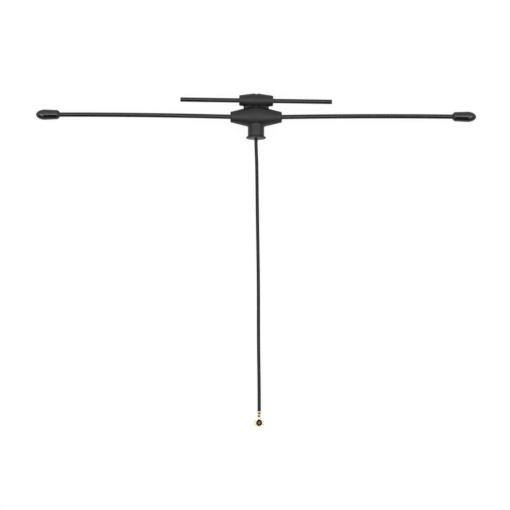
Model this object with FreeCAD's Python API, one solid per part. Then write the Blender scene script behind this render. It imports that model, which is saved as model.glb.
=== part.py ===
import FreeCAD
import Part

import math
import os

# T-type radio-control antenna for two bands, lying flat on a table with its cable laid out.
# Millimetres and degrees. X runs along the dipole, -Y towards the cable and its plug, +Z up.
# The origin is on the table, under the middle of the feed housing.

# Dipole: two sheathed wires that leave the housing with a slight sweep and sag until their caps rest
DIPOLE_SPAN = 150.0
ARM_SHEATH_D = 1.55
ARM_WIRE_D = 0.8
ARM_WIRE_GAP = 3.0
ARM_SWEEP = 1.28
ARM_LEAN = 20.0

# Tip caps: bullet nose, slight taper back to the base, conical base edge
CAP_LENGTH = 8.2
CAP_D = 3.6
CAP_NOSE = 3.05
CAP_BASE_D = 3.2
CAP_BASE_EDGE = 1.0
CAP_BASE_ROUND = 0.3
CAP_LIP_WALL = 0.15
CAP_SOLID_NOSE = 3.0

# Feed housing: double cone with a rounded crown, a round neck with a flange, and a flat oval pad
HOUSING_LENGTH = 17.5
HOUSING_MID_D = 7.4
HOUSING_END_D = 3.75
HOUSING_CROWN = 8.0
HOUSING_END_ROUND = 0.35
NECK_D = 5.55
NECK_LENGTH = 3.7
NECK_FILLET = 0.5
FLANGE_D = 6.65
FLANGE_THICKNESS = 0.75
FLANGE_ROUND = 0.22
PAD_LENGTH = 8.6
PAD_DEPTH = 2.4
PAD_SET_IN = 0.25

# Holder of the short element: smaller double cone, grooved at the middle, pegged into the pad
HOLDER_LENGTH = 11.6
HOLDER_MID_D = 4.95
HOLDER_END_D = 3.55
HOLDER_END_ROUND = 0.45
HOLDER_GROOVE_WIDTH = 1.5
HOLDER_GROOVE_DEPTH = 0.2
HOLDER_FLAT = 0.27
HOLDER_YAW = -0.6
PEG_D = 1.8
PEG_LENGTH = 1.2
PEG_CLEARANCE = 0.05

# Short element: a sheathed wire cut square at both ends
SHORT_SPAN = 51.5
SHORT_SHEATH_D = 1.55
SHORT_WIRE_D = 0.8

# Feed board under the wires, with an earth pad on the left and a signal pad on the right
BOARD_LENGTH = 9.0
BOARD_WIDTH = 3.4
BOARD_THICKNESS = 0.6
BOARD_TO_SHEATH = 0.5
COPPER_THICKNESS = 0.07
COPPER_INSET = 0.3
COPPER_GAP = 1.8
COPPER_WIDTH = 1.6
EARTH_TONGUE = 1.0
SIGNAL_TONGUE = 0.6
TONGUE_OVERLAP = 0.6
SOLDER_WALL = 0.22
ARM_SOLDER_LENGTH = 1.3

# Coaxial cable: diameters of its layers, and how far each reaches past the edge of the one around it
CABLE_D = 1.13
BRAID_D = 0.92
DIELECTRIC_D = 0.68
CONDUCTOR_D = 0.24
JACKET_TO_BOARD = 0.3
FEED_BRAID = 1.5
FEED_DIELECTRIC = 0.5
FEED_CONDUCTOR = 1.0

# Plug, mouth up: a ring whose wall draws in towards the cable, a back plate, two side tabs and two
# crimp barrels, round an insulator that covers the cable's conductor and holds a slit contact
RING_D = 2.7
RING_WALL = 0.35
RING_HEIGHT = 1.9
RING_LIP_ROUND = 0.1
SHEET = 0.2
TAPER_REACH = 1.35
TAPER_TIP_D = 1.05
TAPER_HEIGHT = 1.45
MOUTH_REACH = 1.1
MOUTH_TIP_D = 0.4
TAB_LENGTH = 1.5
TAB_HEIGHT = 1.2
TAB_GAP = 0.1
TAIL_WIDTH = 1.0
TAIL_LENGTH = 0.68
BRAID_CRIMP_LENGTH = 0.32
CRIMP_GAP = 0.68
JACKET_CRIMP_LENGTH = 0.32
CRIMP_SEAM = 0.14
STRIP_GAP = 0.05
SLOT_CLEARANCE = 0.04
CONTACT_D = 1.0
CONTACT_BORE_D = 0.46
CONTACT_BORE_DEPTH = 0.65
CONTACT_HEIGHT = 1.0
CONTACT_SLIT = 0.3
CONTACT_SLIT_DEPTH = 0.6
CONTACT_TAIL_WIDTH = 0.5
CONTACT_TAIL_SHEET = 0.15
INSULATOR_COVER = 0.07

# Cable on the table: its clearance, the plug's reach beyond the neck and aside of it, and the share
# of a run that the rounding of each corner takes
CABLE_CLEAR = 0.02
CABLE_REACH = 92.1
CABLE_ASIDE = 1.55
CORNER_SHARE = 0.45

V = FreeCAD.Vector
X_AXIS = V(1, 0, 0)
Y_AXIS = V(0, 1, 0)
Z_AXIS = V(0, 0, 1)
FULL_TURN = 360
SAME = 1e-4

# Heights and reaches that follow from the sizes above
AXIS_Z = HOUSING_MID_D / 2
HOUSING_HALF = HOUSING_LENGTH / 2
CAP_BORE_DEPTH = CAP_LENGTH - CAP_SOLID_NOSE
NECK_FACE_Y = -(HOUSING_MID_D / 2 + NECK_LENGTH)
PAD_FACE_Y = HOUSING_MID_D / 2 - PAD_SET_IN
HOLDER_CENTRE = V(0, PAD_FACE_Y + HOLDER_MID_D / 2 - HOLDER_FLAT, AXIS_Z)
SHEATH_INNER_X = BOARD_LENGTH / 2 + BOARD_TO_SHEATH
COPPER_TOP_Z = AXIS_Z - BRAID_D / 2
BOARD_TOP_Z = COPPER_TOP_Z - COPPER_THICKNESS
JACKET_END_Y = -BOARD_WIDTH / 2 - JACKET_TO_BOARD
BRAID_END_Y = JACKET_END_Y + FEED_BRAID
DIELECTRIC_END_Y = BRAID_END_Y + FEED_DIELECTRIC
CONDUCTOR_END_Y = DIELECTRIC_END_Y + FEED_CONDUCTOR
CABLE_FLOOR_Z = CABLE_D / 2 + CABLE_CLEAR
PLUG_AXIS_Z = CABLE_D / 2 + SHEET
TAPER_TIP_Y = TAPER_REACH + TAPER_TIP_D / 2
BRAID_CRIMP_Y = TAPER_TIP_Y + TAIL_LENGTH
JACKET_CRIMP_Y = BRAID_CRIMP_Y + BRAID_CRIMP_LENGTH + CRIMP_GAP
PLUG_BACK_Y = JACKET_CRIMP_Y + JACKET_CRIMP_LENGTH
CABLE_END = V(CABLE_ASIDE, NECK_FACE_Y - CABLE_REACH, PLUG_AXIS_Z)
PLUG_CENTRE = CABLE_END - V(0, PLUG_BACK_Y, PLUG_AXIS_Z)

# Route of the cable: how far each point lies aside, beyond the neck and above the table
CABLE_ROUTE = [
    V(0, NECK_FACE_Y, AXIS_Z),
    V(0, NECK_FACE_Y - 2.0, AXIS_Z),
    V(0.3, NECK_FACE_Y - 8.0, 3.5),
    V(0.48, NECK_FACE_Y - 18.0, 1.7),
    V(0.7, NECK_FACE_Y - 30.0, CABLE_FLOOR_Z + 0.03),
    V(1.1, NECK_FACE_Y - 49.0, CABLE_FLOOR_Z),
    V(1.18, NECK_FACE_Y - 68.0, CABLE_FLOOR_Z),
    V(CABLE_ASIDE, NECK_FACE_Y - 86.0, PLUG_AXIS_Z),
    CABLE_END,
]


def rod(start, end, radius):
    """A round bar between two points."""
    return Part.makeCylinder(radius, (end - start).Length, start, end - start)


def tube(start, end, radius, bore):
    """A round bar with a hole of radius bore along it."""
    return rod(start, end, radius).cut(rod(start, end, bore))


def block(low, high):
    """A box between two corners."""
    size = high - low
    return Part.makeBox(size.x, size.y, size.z, low)


def polyline(points):
    """Straight edges from point to point."""
    return [Part.LineSegment(a, b).toShape() for a, b in zip(points, points[1:])]


def turned(edges, axis):
    """A closed half outline turned into a solid about an axis through the origin."""
    return Part.Face(Part.Wire(edges)).revolve(V(), axis, FULL_TURN)


def swept(path, radius):
    """A round bar along a path of lines and tangent arcs."""
    first = path.OrderedEdges[0]
    start = first.valueAt(first.FirstParameter)
    heading = first.tangentAt(first.FirstParameter)
    section = Part.Wire(Part.Circle(start, heading, radius).toShape())
    return path.makePipeShell([section], True, False)


def edges_at(shape, test):
    """The edges whose whole box passes a test."""
    return [edge for edge in shape.Edges if test(edge.BoundBox)]


# Dipole arms


def sag_turn():
    """The angle, in radians, that an arm bends through for its cap to come to rest on the table."""
    lean = math.cos(math.radians(ARM_LEAN))

    def cap_height(turn):
        arc_reach = DIPOLE_SPAN / 2 - HOUSING_HALF - CAP_LENGTH * math.cos(turn)
        drop = arc_reach * math.tan(turn / 2) + (CAP_LENGTH - CAP_NOSE) * math.sin(turn)
        dip = math.sin(turn) * lean
        below = math.hypot(CAP_NOSE * dip, CAP_D / 2 * math.sqrt(1 - dip * dip))
        return AXIS_Z - drop * lean - below

    low = 0.0
    high = math.pi / 6
    for _ in range(60):
        middle = (low + high) / 2
        if cap_height(middle) > 0:
            low = middle
        else:
            high = middle
    return high


def arm_bend():
    """Where an arm's bend ends and its cap begins, in the arm's own frame, and the angle there."""
    turn = sag_turn()
    reach = DIPOLE_SPAN / 2 - HOUSING_HALF - CAP_LENGTH * math.cos(turn)
    return V(HOUSING_HALF + reach, 0, -reach * math.tan(turn / 2)), turn


def arm_path(start_x):
    """Centreline of the right arm: straight in the housing, one long bend, straight in the cap."""
    cap_base, turn = arm_bend()
    radius = (cap_base.x - HOUSING_HALF) / math.sin(turn)
    exit_point = V(HOUSING_HALF, 0, 0)
    half = turn / 2
    bend_middle = V(HOUSING_HALF + radius * math.sin(half), 0, radius * (math.cos(half) - 1))
    tip = cap_base + V(math.cos(turn), 0, -math.sin(turn)) * CAP_BORE_DEPTH
    return Part.Wire(
        [
            Part.LineSegment(V(start_x, 0, 0), exit_point).toShape(),
            Part.Arc(exit_point, bend_middle, cap_base).toShape(),
            Part.LineSegment(cap_base, tip).toShape(),
        ]
    )


def place_arm(shape):
    """Lean and sweep a shape from the arm's own frame, and lift it to the housing's axis."""
    placed = shape.copy()
    placed.rotate(V(), X_AXIS, -ARM_LEAN)
    placed.rotate(V(SHEATH_INNER_X, 0, 0), Z_AXIS, ARM_SWEEP)
    placed.translate(V(0, 0, AXIS_Z))
    return placed


def mirrored(shape):
    """The left-hand twin of a right-hand piece."""
    return shape.mirror(V(), X_AXIS)


def arm_wire():
    """The right arm's wire, bare where it lies on the feed board."""
    return place_arm(swept(arm_path(ARM_WIRE_GAP / 2), ARM_WIRE_D / 2))


def arm_sheath(wire):
    """The right arm's sheath round its wire."""
    return place_arm(swept(arm_path(SHEATH_INNER_X), ARM_SHEATH_D / 2)).cut(wire)


def tip_cap(sheath, wire):
    """The bullet-shaped cap pushed over the right arm's end."""
    shoulder = CAP_LENGTH - CAP_NOSE
    lip = V(0, ARM_SHEATH_D / 2 + CAP_LIP_WALL, 0)
    base = V(CAP_BASE_EDGE, CAP_BASE_D / 2, 0)
    widest = V(shoulder, CAP_D / 2, 0)
    nose = Part.Ellipse(V(shoulder, 0, 0), CAP_NOSE, CAP_D / 2)
    quarter = Part.ArcOfEllipse(nose, 0, math.pi / 2).toShape()
    outline = polyline([V(CAP_LENGTH, 0, 0), V(), lip, base, widest]) + [quarter]
    cap = turned(Part.sortEdges(outline)[0], X_AXIS)
    rim = edges_at(cap, lambda box: box.XLength < SAME and abs(box.XMin - CAP_BASE_EDGE) < SAME)
    cap = cap.makeFillet(CAP_BASE_ROUND, rim)
    cap_base, turn = arm_bend()
    cap.rotate(V(), Y_AXIS, math.degrees(turn))
    cap.translate(cap_base)
    return place_arm(cap).cut(sheath).cut(wire)


# Short element and its holder


def place_holder(shape):
    """Yaw a shape from the holder's own frame and carry it to the holder's centre."""
    placed = shape.copy()
    placed.rotate(V(), Z_AXIS, HOLDER_YAW)
    placed.translate(HOLDER_CENTRE)
    return placed


def short_wire():
    """The short element's wire, flush with its sheath at both ends."""
    end = V(SHORT_SPAN / 2, 0, 0)
    return place_holder(rod(-end, end, SHORT_WIRE_D / 2))


def short_sheath():
    """The short element's sheath."""
    end = V(SHORT_SPAN / 2, 0, 0)
    return place_holder(tube(-end, end, SHORT_SHEATH_D / 2, SHORT_WIRE_D / 2))


def oval_block(start_y, end_y):
    """A bar along Y with the oval outline of the pad."""
    rim = Part.Ellipse(V(), PAD_LENGTH / 2, PAD_DEPTH / 2).toShape()
    rim.rotate(V(), X_AXIS, -90)
    rim.translate(V(0, start_y, 0))
    return Part.Face(Part.Wire(rim)).extrude(V(0, end_y - start_y, 0))


def element_holder():
    """The holder: a grooved double cone with an oval foot on the pad and a peg that goes into it."""
    half = HOLDER_LENGTH / 2
    lip = HOLDER_GROOVE_WIDTH / 2
    outline = [
        V(-half, 0, 0),
        V(-half, HOLDER_END_D / 2, 0),
        V(-lip, HOLDER_MID_D / 2, 0),
        V(0, HOLDER_MID_D / 2 - HOLDER_GROOVE_DEPTH, 0),
        V(lip, HOLDER_MID_D / 2, 0),
        V(half, HOLDER_END_D / 2, 0),
        V(half, 0, 0),
        V(-half, 0, 0),
    ]
    body = turned(polyline(outline), X_AXIS)
    rims = edges_at(body, lambda box: box.XLength < SAME and abs(abs(box.XMin) - half) < SAME)
    body = place_holder(body.makeFillet(HOLDER_END_ROUND, rims))
    reach = HOLDER_LENGTH
    under = block(V(-reach, -reach, -reach), V(reach, PAD_FACE_Y, reach + AXIS_Z))
    peg_top = V(0, HOLDER_CENTRE.y - SHORT_SHEATH_D, AXIS_Z)
    peg = rod(V(0, PAD_FACE_Y - PEG_LENGTH, AXIS_Z), peg_top, PEG_D / 2)
    end = V(SHORT_SPAN / 2, 0, 0)
    passage = place_holder(rod(-end, end, SHORT_SHEATH_D / 2))
    foot = oval_block(PAD_FACE_Y, HOLDER_CENTRE.y)
    foot.translate(V(0, 0, AXIS_Z))
    return body.cut(under).fuse([foot, peg]).cut(passage).removeSplitter()


# Feed board and its joints


def plate(points, low_z, thickness):
    """A flat sheet with a straight-sided outline."""
    closed = [V(x, y, low_z) for x, y in points + points[:1]]
    return Part.Face(Part.Wire(polyline(closed))).extrude(V(0, 0, thickness))


def feed_board():
    """The bare board that carries the feed point."""
    low = V(-BOARD_LENGTH / 2, -BOARD_WIDTH / 2, BOARD_TOP_Z - BOARD_THICKNESS)
    return block(low, V(BOARD_LENGTH / 2, BOARD_WIDTH / 2, BOARD_TOP_Z))


def copper(outer_x, inner_x, tongue_x, tongue_low, tongue_high):
    """A pad under one dipole wire, with a tongue that reaches across to the cable."""
    half = COPPER_WIDTH / 2
    pad = plate([(outer_x, -half), (inner_x, -half), (inner_x, half), (outer_x, half)],
                BOARD_TOP_Z, COPPER_THICKNESS)
    root_x = (outer_x + inner_x) / 2
    tongue = plate([(root_x, tongue_low), (tongue_x, tongue_low), (tongue_x, tongue_high),
                    (root_x, tongue_high)], BOARD_TOP_Z, COPPER_THICKNESS)
    return pad.fuse(tongue).removeSplitter()


def earth_copper():
    """The pad of the left wire and the cable's braid."""
    low = -BOARD_WIDTH / 2 + COPPER_INSET
    return copper(-BOARD_LENGTH / 2 + COPPER_INSET, -COPPER_GAP / 2, TONGUE_OVERLAP, low, low + EARTH_TONGUE)


def signal_copper():
    """The pad of the right wire and the cable's centre conductor."""
    high = (DIELECTRIC_END_Y + CONDUCTOR_END_Y) / 2 + SIGNAL_TONGUE / 2
    low = high - SIGNAL_TONGUE
    return copper(BOARD_LENGTH / 2 - COPPER_INSET, COPPER_GAP / 2, -TONGUE_OVERLAP, low, high)


def solder_bead(start, end, radius):
    """A bead of solder along a conductor: a bar with round ends."""
    along = (end - start).normalize()
    length = (end - start).Length
    bead = turned(
        [
            Part.LineSegment(V(length + radius, 0, 0), V(-radius, 0, 0)).toShape(),
            Part.Arc(V(-radius, 0, 0), V(-radius, radius, 0) * math.sqrt(0.5), V(0, radius, 0)).toShape(),
            Part.LineSegment(V(0, radius, 0), V(length, radius, 0)).toShape(),
            Part.Arc(
                V(length, radius, 0),
                V(length, 0, 0) + V(radius, radius, 0) * math.sqrt(0.5),
                V(length + radius, 0, 0),
            ).toShape(),
        ],
        X_AXIS,
    )
    bead.Placement = FreeCAD.Placement(start, FreeCAD.Rotation(X_AXIS, along))
    return bead


def solder_joints(inner_pieces):
    """Four beads on the copper: the two dipole wires, the braid and the centre conductor."""
    arm_radius = ARM_WIRE_D / 2 + SOLDER_WALL
    arm_start = V(ARM_WIRE_GAP / 2 + arm_radius, 0, 0)
    right = place_arm(solder_bead(arm_start, arm_start + V(ARM_SOLDER_LENGTH, 0, 0), arm_radius))
    braid_radius = BRAID_D / 2 + SOLDER_WALL
    braid_start = V(0, -BOARD_WIDTH / 2 + braid_radius, AXIS_Z)
    braid = solder_bead(braid_start, V(0, BRAID_END_Y - braid_radius / 2, AXIS_Z), braid_radius)
    signal_radius = AXIS_Z - COPPER_TOP_Z + SOLDER_WALL / 2
    middle = (DIELECTRIC_END_Y + CONDUCTOR_END_Y) / 2
    signal_half = V(0, SOLDER_WALL / 4, 0)
    signal_middle = V(0, middle + signal_radius / 4, AXIS_Z)
    signal = solder_bead(signal_middle - signal_half, signal_middle + signal_half, signal_radius)
    reach = BOARD_LENGTH
    above = block(V(-reach, -reach, COPPER_TOP_Z), V(reach, reach, COPPER_TOP_Z + reach))
    beads = [right, mirrored(right), braid, signal]
    return Part.makeCompound([bead.common(above).cut(inner_pieces) for bead in beads])


# Cable


def cable_path():
    """The cable's centreline: each corner of the route rounded as far as its two runs allow."""
    edges = []
    last = CABLE_ROUTE[0]
    radii = []
    for before, corner, after in zip(CABLE_ROUTE, CABLE_ROUTE[1:], CABLE_ROUTE[2:]):
        back = before - corner
        ahead = after - corner
        cut = CORNER_SHARE * min(back.Length, ahead.Length)
        back.normalize()
        ahead.normalize()
        turn = math.pi - back.getAngle(ahead)
        radius = cut / math.tan(turn / 2)
        inward = (back + ahead).normalize()
        middle = corner + inward * (radius / math.cos(turn / 2) - radius)
        start = corner + back * cut
        end = corner + ahead * cut
        edges.append(Part.LineSegment(last, start).toShape())
        edges.append(Part.Arc(start, middle, end).toShape())
        radii.append(radius)
        last = end
    edges.append(Part.LineSegment(last, CABLE_ROUTE[-1]).toShape())
    print("cable bend radii", [round(radius, 1) for radius in radii])
    return Part.Wire(edges)


def cable():
    """The free stretch of cable from the neck's flange to the plug."""
    path = cable_path()
    solid = swept(path, CABLE_D / 2)
    expected = math.pi * CABLE_D**2 / 4 * path.Length
    print("cable length", round(path.Length, 2), "volume against section", round(solid.Volume / expected, 5))
    return solid


def stripped_end(start, along, reaches):
    """The four layers of a stripped cable end, each a sleeve round the next, by name.

    reaches gives how far jacket, braid, dielectric and conductor run from start.
    """
    diameters = [CABLE_D, BRAID_D, DIELECTRIC_D, CONDUCTOR_D]
    names = ["jacket", "braid", "dielectric", "conductor"]
    layers = {}
    for name, outer, inner, reach in zip(names, diameters, diameters[1:] + [0], reaches):
        end = start + along * reach
        if inner:
            layers[name] = tube(start, end, outer / 2, inner / 2)
        else:
            layers[name] = rod(start, end, outer / 2)
    return layers


def feed_end():
    """The stripped end from the neck's flange to the feed board."""
    ends = [JACKET_END_Y, BRAID_END_Y, DIELECTRIC_END_Y, CONDUCTOR_END_Y]
    return stripped_end(CABLE_ROUTE[0], Y_AXIS, [end - NECK_FACE_Y for end in ends])


def plug_end():
    """The stripped end inside the plug."""
    ends = [
        JACKET_CRIMP_Y - STRIP_GAP,
        TAPER_TIP_Y + STRIP_GAP,
        MOUTH_REACH + MOUTH_TIP_D / 2 + STRIP_GAP,
        CONTACT_D / 2,
    ]
    return stripped_end(CABLE_END, -Y_AXIS, [PLUG_BACK_Y - end for end in ends])


# Plug, each piece made round its own centre on the table and then carried to the cable's end


def place_plug(shape):
    """Carry a shape from the plug's own frame to the end of the cable."""
    placed = shape.copy()
    placed.translate(PLUG_CENTRE)
    return placed


def tear(radius, tip_radius, reach, low_z, high_z):
    """An upright tear-shaped bar: a round body drawn in by two tangents to a small round tip."""
    lean = math.asin((radius - tip_radius) / reach)
    aside = math.cos(lean)
    along = math.sin(lean)
    body_right = V(radius * aside, radius * along, low_z)
    body_left = V(-radius * aside, radius * along, low_z)
    tip_right = V(tip_radius * aside, reach + tip_radius * along, low_z)
    tip_left = V(-tip_radius * aside, reach + tip_radius * along, low_z)
    outline = [
        Part.LineSegment(body_right, tip_right).toShape(),
        Part.Arc(tip_right, V(0, reach + tip_radius, low_z), tip_left).toShape(),
        Part.LineSegment(tip_left, body_left).toShape(),
        Part.Arc(body_left, V(0, -radius, low_z), body_right).toShape(),
    ]
    return Part.Face(Part.Wire(outline)).extrude(V(0, 0, high_z - low_z))


def ring():
    """The upright ring with its rounded lip."""
    outer = RING_D / 2
    inner = outer - RING_WALL
    top = V(0, 0, RING_HEIGHT)
    outline = [V(inner, 0, 0), V(outer, 0, 0), V(outer, 0, 0) + top, V(inner, 0, 0) + top, V(inner, 0, 0)]
    wall = turned(polyline(outline), Z_AXIS)
    lips = edges_at(wall, lambda box: box.ZMin > RING_HEIGHT - SAME)
    return wall.makeFillet(RING_LIP_ROUND, lips)


def side_tabs():
    """The back plate's two tabs, folded up beside the ring, and the strip of plate between them."""
    inner = RING_D / 2 + TAB_GAP
    outer = inner + SHEET
    half = TAB_LENGTH / 2
    right = block(V(inner, -half, 0), V(outer, half, TAB_HEIGHT))
    left = block(V(-outer, -half, 0), V(-inner, half, TAB_HEIGHT))
    return [right, left, block(V(-outer, -half, 0), V(outer, half, SHEET))]


def crimp(start_y, length, bore):
    """A barrel closed round the cable, with its seam on top."""
    axis_start = V(0, start_y, PLUG_AXIS_Z)
    barrel = tube(axis_start, axis_start + Y_AXIS * length, bore + SHEET, bore)
    seam_top = PLUG_AXIS_Z + bore + 2 * SHEET
    seam = block(V(-CRIMP_SEAM / 2, start_y, PLUG_AXIS_Z), V(CRIMP_SEAM / 2, start_y + length, seam_top))
    return barrel.cut(seam)


def plug_shell():
    """Ring, back plate, tabs, tail and crimp barrels, bent from one sheet."""
    tail = block(V(-TAIL_WIDTH / 2, 0, 0), V(TAIL_WIDTH / 2, PLUG_BACK_Y, SHEET))
    braid_crimp = crimp(BRAID_CRIMP_Y, BRAID_CRIMP_LENGTH, BRAID_D / 2)
    jacket_crimp = crimp(JACKET_CRIMP_Y, JACKET_CRIMP_LENGTH, CABLE_D / 2)
    taper = tear(RING_D / 2, TAPER_TIP_D / 2, TAPER_REACH, 0, TAPER_HEIGHT)
    shell = taper.fuse([ring(), tail, braid_crimp, jacket_crimp] + side_tabs())
    mouth = tear(RING_D / 2 - RING_WALL, MOUTH_TIP_D / 2, MOUTH_REACH, SHEET, 2 * RING_HEIGHT)
    slot = DIELECTRIC_D / 2 + SLOT_CLEARANCE
    passage = rod(V(0, 0, PLUG_AXIS_Z), V(0, TAPER_TIP_Y, PLUG_AXIS_Z), slot)
    seat = rod(V(0, JACKET_CRIMP_Y, PLUG_AXIS_Z), V(0, PLUG_BACK_Y, PLUG_AXIS_Z), CABLE_D / 2)
    return place_plug(shell.cut([mouth, passage, seat]).removeSplitter())


def contact_base_z():
    """Underside of the contact, whose tail lies just under the cable's centre conductor."""
    return PLUG_AXIS_Z - CONDUCTOR_D / 2 - CONTACT_TAIL_SHEET


def plug_contact():
    """The slit ring that takes the socket's pin, with a tail under the cable's centre conductor."""
    low = contact_base_z()
    top = low + CONTACT_TAIL_SHEET + CONTACT_HEIGHT
    ring = rod(V(0, 0, low), V(0, 0, top), CONTACT_D / 2)
    half = CONTACT_TAIL_WIDTH / 2
    tail_end = RING_D / 2 - RING_WALL - STRIP_GAP
    tail = block(V(-half, 0, low), V(half, tail_end, low + CONTACT_TAIL_SHEET))
    bore = rod(V(0, 0, top - CONTACT_BORE_DEPTH), V(0, 0, top), CONTACT_BORE_D / 2)
    slit = block(V(-CONTACT_SLIT / 2, 0, top - CONTACT_SLIT_DEPTH), V(CONTACT_SLIT / 2, CONTACT_D, top))
    return place_plug(ring.fuse(tail).cut(bore).cut(slit).removeSplitter())


def plug_insulator(contact):
    """The block on the mouth's floor: it covers the cable's conductor and holds the contact off the ring."""
    radius = CONDUCTOR_D / 2
    roof_z = PLUG_AXIS_Z + radius + INSULATOR_COVER
    body = tear(RING_D / 2 - RING_WALL, MOUTH_TIP_D / 2, MOUTH_REACH, SHEET, roof_z)
    lead = rod(V(0, 0, PLUG_AXIS_Z), V(0, TAPER_TIP_Y, PLUG_AXIS_Z), radius)
    channel = block(V(-radius, 0, PLUG_AXIS_Z - radius), V(radius, TAPER_TIP_Y, PLUG_AXIS_Z))
    return place_plug(body.cut([lead, channel])).cut(contact)


# Feed housing


def housing_body():
    """The double cone with its rounded crown, about the X axis."""
    centre_r = HOUSING_MID_D / 2 - HOUSING_CROWN
    rise = HOUSING_END_D / 2 - centre_r
    angle = math.atan2(rise, HOUSING_HALF) + math.acos(HOUSING_CROWN / math.hypot(HOUSING_HALF, rise))
    tangent = V(HOUSING_CROWN * math.cos(angle), centre_r + HOUSING_CROWN * math.sin(angle), 0)
    crown_start = V(-tangent.x, tangent.y, 0)
    end_low = V(HOUSING_HALF, 0, 0)
    end_high = V(HOUSING_HALF, HOUSING_END_D / 2, 0)
    start_high = V(-HOUSING_HALF, HOUSING_END_D / 2, 0)
    outline = polyline([tangent, end_high, end_low, -end_low, start_high, crown_start])
    outline.append(Part.Arc(crown_start, V(0, HOUSING_MID_D / 2, 0), tangent).toShape())
    body = turned(outline, X_AXIS)
    rims = edges_at(body, lambda box: box.XLength < SAME and abs(abs(box.XMin) - HOUSING_HALF) < SAME)
    return body.makeFillet(HOUSING_END_ROUND, rims)


def neck():
    """The round neck towards the cable and the flange at its end, about the Y axis."""
    face = NECK_FACE_Y
    stem = rod(V(), V(0, face, 0), NECK_D / 2)
    flange = rod(V(0, face + FLANGE_THICKNESS, 0), V(0, face, 0), FLANGE_D / 2)
    rims = edges_at(flange, lambda box: box.YLength < SAME)
    return stem, flange.makeFillet(FLANGE_ROUND, rims)


def main_housing(inner_pieces):
    """The moulded housing round everything that it holds."""
    stem, flange = neck()
    shell = housing_body().fuse(stem).removeSplitter()
    root_y = NECK_FACE_Y + FLANGE_THICKNESS
    root = edges_at(shell, lambda box: root_y < box.YMin and box.YMax < 0 and box.ZLength > NECK_D / 2)
    shell = shell.makeFillet(NECK_FILLET, root)
    reach = HOUSING_LENGTH
    beyond = block(V(-reach, PAD_FACE_Y, -reach), V(reach, reach, reach))
    shell = shell.fuse([flange, oval_block(0, PAD_FACE_Y)]).cut(beyond).removeSplitter()
    shell.translate(V(0, 0, AXIS_Z))
    socket_end = V(0, PAD_FACE_Y - PEG_LENGTH - PEG_CLEARANCE, AXIS_Z)
    socket = rod(socket_end, V(0, PAD_FACE_Y, AXIS_Z), PEG_D / 2 + PEG_CLEARANCE)
    return shell.cut([socket] + inner_pieces)


def build():
    """Every piece by its node name."""
    parts = {}
    right_wire = arm_wire()
    right_sheath = arm_sheath(right_wire)
    right_cap = tip_cap(right_sheath, right_wire)
    for side, twin in [("right", lambda shape: shape), ("left", mirrored)]:
        parts["dipole_wire_" + side] = twin(right_wire)
        parts["dipole_sheath_" + side] = twin(right_sheath)
        parts["tip_cap_" + side] = twin(right_cap)
    parts["short_element_wire"] = short_wire()
    parts["short_element_sheath"] = short_sheath()
    parts["short_element_holder"] = element_holder()

    parts["feed_board"] = feed_board()
    parts["feed_earth_copper"] = earth_copper()
    parts["feed_signal_copper"] = signal_copper()
    for name, layer in feed_end().items():
        parts["coax_feed_" + name] = layer
    soldered = ["dipole_wire_left", "dipole_wire_right", "coax_feed_braid", "coax_feed_dielectric",
                "coax_feed_conductor"]
    parts["solder_joints"] = solder_joints([parts[name] for name in soldered])
    held = [name for name in parts if name.startswith(("dipole_", "feed_", "coax_feed_", "solder_"))]
    parts["main_housing"] = main_housing([parts[name] for name in held])

    parts["coax_cable"] = cable()
    for name, layer in plug_end().items():
        parts["coax_plug_" + name] = layer
    parts["plug_shell"] = plug_shell()
    parts["plug_contact"] = plug_contact()
    parts["plug_insulator"] = plug_insulator(parts["plug_contact"])
    return parts


def main():
    os.makedirs("parts", exist_ok=True)
    for name, shape in build().items():
        shape.exportStep(os.path.join("parts", name + ".step"))
        box = shape.BoundBox
        print(name, len(shape.Solids), shape.isValid(), round(shape.Volume, 4),
              [round(value, 2) for value in (box.XMin, box.XMax, box.YMin, box.YMax, box.ZMin, box.ZMax)])


main()
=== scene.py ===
"""Studio scene of a T-type radio-control antenna on a white table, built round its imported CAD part.

Sizes are in millimetres, in the row frame: X along the dipole, -Y towards the cable's plug, +Z up from the
table. A piece is made in millimetres and turned to metres when it is settled on the frame.
"""

import logging
import math
from dataclasses import dataclass, field
from enum import Enum
from typing import Any, Dict, List, Optional, Sequence, Tuple, Union

import bmesh
import bpy
from mathutils import Matrix, Vector


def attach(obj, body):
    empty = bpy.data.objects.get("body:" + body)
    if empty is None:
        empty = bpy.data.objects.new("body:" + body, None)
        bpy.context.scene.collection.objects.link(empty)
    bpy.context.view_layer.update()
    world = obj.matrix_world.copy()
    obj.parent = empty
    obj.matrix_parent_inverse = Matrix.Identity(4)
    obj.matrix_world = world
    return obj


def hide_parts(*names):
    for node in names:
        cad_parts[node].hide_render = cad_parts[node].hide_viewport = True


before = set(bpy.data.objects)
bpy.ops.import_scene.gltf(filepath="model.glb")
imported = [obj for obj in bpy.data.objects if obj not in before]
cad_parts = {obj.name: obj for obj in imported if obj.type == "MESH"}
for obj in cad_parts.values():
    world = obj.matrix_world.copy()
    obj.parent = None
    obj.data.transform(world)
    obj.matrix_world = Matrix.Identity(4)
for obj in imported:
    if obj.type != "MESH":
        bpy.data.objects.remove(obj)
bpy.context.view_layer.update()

MM = 0.001
TINY = 1e-6
ROOT = "root"
LOG = logging.getLogger("antenna")

Point2 = Tuple[float, float]
Point3 = Tuple[float, float, float]
Colour = Tuple[float, float, float, float]
Piece = bpy.types.Object
Surface = bmesh.types.BMesh
Tree = bpy.types.NodeTree
Socket = bpy.types.NodeSocket

# Sizes that several pieces share
AXIS_HEIGHT = 3.7
SHEATH_RADIUS = 0.775
WIRE_RADIUS = 0.4
CABLE_RADIUS = 0.565
PAD_HALF = 4.3
PAD_HALF_HEIGHT = 1.2
PAD_FACE = 3.45

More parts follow.
